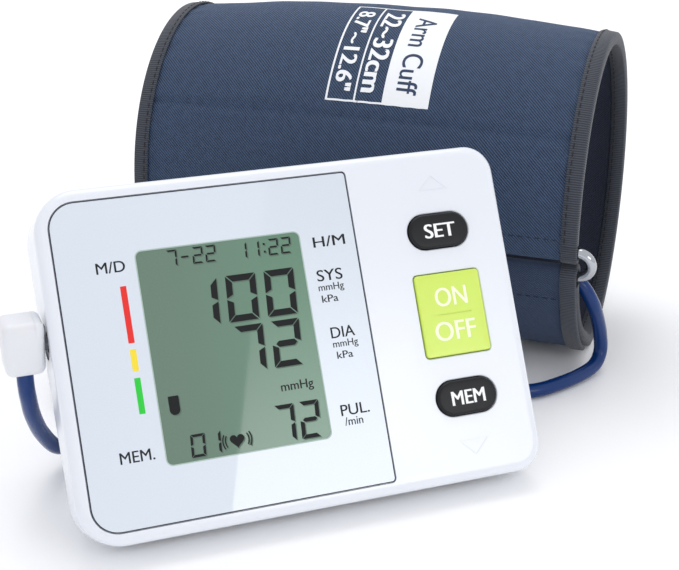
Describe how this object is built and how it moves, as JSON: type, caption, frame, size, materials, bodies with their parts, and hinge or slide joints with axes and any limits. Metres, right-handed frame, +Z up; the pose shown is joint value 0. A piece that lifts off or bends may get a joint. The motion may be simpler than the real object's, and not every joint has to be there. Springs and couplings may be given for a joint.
{
  "type": "upper arm blood pressure monitor",
  "caption": "Desk blood pressure monitor with a leaning display face, press buttons, and a fabric upper arm cuff joined to its side by an air hose and a push-in plug.",
  "frame": {"origin": "middle of the footprint of the unit and the cuff, on the table", "axes": "+X to the right of the unit as its display is read, +Y to its back, +Z up"},
  "size_m": [0.2597, 0.2368, 0.1232],
  "materials": {
    "white_abs": "gloss",
    "rear_abs": "satin",
    "panel_acrylic": "gloss",
    "lcd_glass": "satin",
    "black_plastic": "satin",
    "lime_plastic": "satin",
    "board": "satin",
    "steel": "satin",
    "chromed_steel": "polished",
    "rubber": "matte",
    "battery_sleeve": "satin",
    "socket_plastic": "satin",
    "silicone_tube": "satin",
    "hose": "satin",
    "navy_nylon": "woven",
    "inner_nylon": "woven",
    "bladder_film": "satin",
    "binding_tape": "ribbed"
  },
  "bodies": {
    "monitor": {"front_housing": "white_abs", "rear_housing": "rear_abs", "case_screw_1": "steel", "case_screw_2": "steel", "board_screw_1": "steel", "board_screw_2": "steel", "board_screw_3": "steel", "board_screw_4": "steel", "foot_1": "rubber", "foot_2": "rubber", "foot_3": "rubber", "foot_4": "rubber", "display_window": "panel_acrylic", "lcd_module": "lcd_glass", "lcd_holder": "rear_abs", "lcd_contact_strip": "rubber", "set_switch": "black_plastic", "power_switch": "black_plastic", "memory_switch": "black_plastic", "main_board": "board", "microcontroller": "black_plastic", "buzzer": "black_plastic", "pressure_sensor": "rear_abs", "battery_tray": "rear_abs", "battery_1": "battery_sleeve", "battery_2": "battery_sleeve", "battery_3": "battery_sleeve", "battery_4": "battery_sleeve", "battery_contact_left": "steel", "battery_contact_right": "steel", "pump_motor": "steel", "pump_head": "black_plastic", "pump_diaphragm": "rubber", "pump_cap": "black_plastic", "exhaust_valve": "steel", "air_socket": "socket_plastic", "air_manifold": "rear_abs", "tube_to_pump": "silicone_tube", "tube_to_valve": "silicone_tube"},
    "set_key": {"set_button": "black_plastic"},
    "power_key": {"power_button": "lime_plastic"},
    "memory_key": {"memory_button": "black_plastic"},
    "battery_cover": {"battery_door": "rear_abs"},
    "pump_drive": {"pump_rotor": "steel"},
    "valve_armature": {"valve_plunger": "steel"},
    "cuff": {"plug_body": "white_abs", "plug_nozzle": "socket_plastic", "nozzle_seal": "rubber", "hose_cuff_end": "hose", "hose_plug_end": "hose", "hose_coil": "hose", "hose_port": "rubber", "cuff_outer_fabric": "navy_nylon", "cuff_inner_fabric": "inner_nylon", "cuff_bladder": "bladder_film", "cuff_binding_left": "binding_tape", "cuff_binding_right": "binding_tape", "cuff_hem": "navy_nylon", "cuff_tail": "navy_nylon"},
    "cuff_loop": {"cuff_ring": "chromed_steel"}
  },
  "joints": [
    {"name": "set_press", "type": "slide", "parent": "monitor", "child": "set_key", "axis": [0, 0.8813, -0.4726], "range_m": [0, 0.0008], "stiffness_N_per_m": 1500},
    {"name": "power_press", "type": "slide", "parent": "monitor", "child": "power_key", "axis": [0, 0.8813, -0.4726], "range_m": [0, 0.0008], "stiffness_N_per_m": 1500},
    {"name": "memory_press", "type": "slide", "parent": "monitor", "child": "memory_key", "axis": [0, 0.8813, -0.4726], "range_m": [0, 0.0008], "stiffness_N_per_m": 1500},
    {"name": "battery_cover_hinge", "type": "hinge", "parent": "monitor", "child": "battery_cover", "pos_m": [-0.0509, -0.0952, 0.003], "axis": [-1, 0, 0], "range_deg": [0, 85]},
    {"name": "pump_spin", "type": "hinge", "parent": "monitor", "child": "pump_drive", "pos_m": [-0.0289, -0.0715, 0.037], "axis": [1, 0, 0], "continuous": true},
    {"name": "valve_pull", "type": "slide", "parent": "monitor", "child": "valve_armature", "axis": [-1, 0, 0], "range_m": [0, 0.001], "stiffness_N_per_m": 150},
    {"name": "plug_pull", "type": "slide", "parent": "monitor", "child": "cuff", "axis": [-1, 0, 0], "range_m": [0, 0.0085]},
    {"name": "loop_swing", "type": "hinge", "parent": "cuff", "child": "cuff_loop", "pos_m": [-0.00268, -0.00951, 0.0528], "axis": [0.7694, -0.6388, 0], "range_deg": [-3, 3]}
  ]
}
